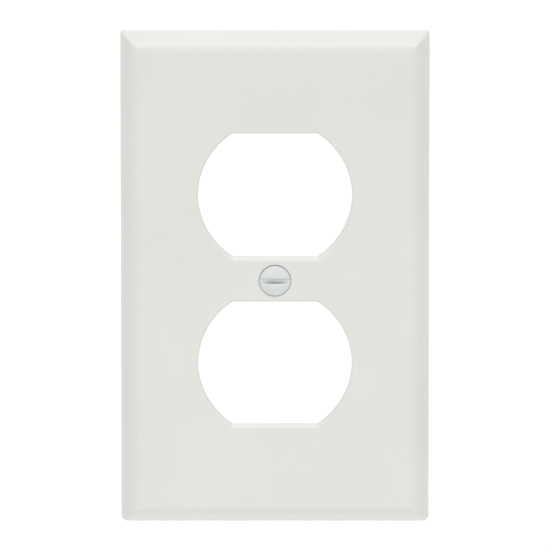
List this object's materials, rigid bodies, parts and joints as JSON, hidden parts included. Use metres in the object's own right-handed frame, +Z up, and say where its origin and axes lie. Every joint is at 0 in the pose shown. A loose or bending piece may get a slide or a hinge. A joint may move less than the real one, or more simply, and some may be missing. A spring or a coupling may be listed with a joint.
{
  "type": "duplex outlet wall plate",
  "caption": "Flat rectangular cover plate with bevelled rim, hollow back, two round-sided flat-ended openings and a slotted oval-head screw between them.",
  "frame": {"origin": "on the mounting screw's axis, in the plane of the wall that the plate's back rim rests on", "axes": "+Z up the wall, +X to the right as seen from the room, +Y into the wall, so the plate's face looks along -Y"},
  "size_m": [0.0698, 0.0136, 0.1142],
  "materials": {
    "plate_plastic": "smooth semi-gloss warm white moulded plastic",
    "screw_enamel": "gloss white enamel over steel"
  },
  "bodies": {
    "plate": {"faceplate": "plate_plastic"},
    "screw": {"mounting_screw": "screw_enamel"}
  },
  "joints": [
    {"name": "screw_turn", "type": "hinge", "parent": "plate", "child": "screw", "pos_m": [0, 0, 0], "axis": [0, -1, 0], "continuous": true}
  ]
}
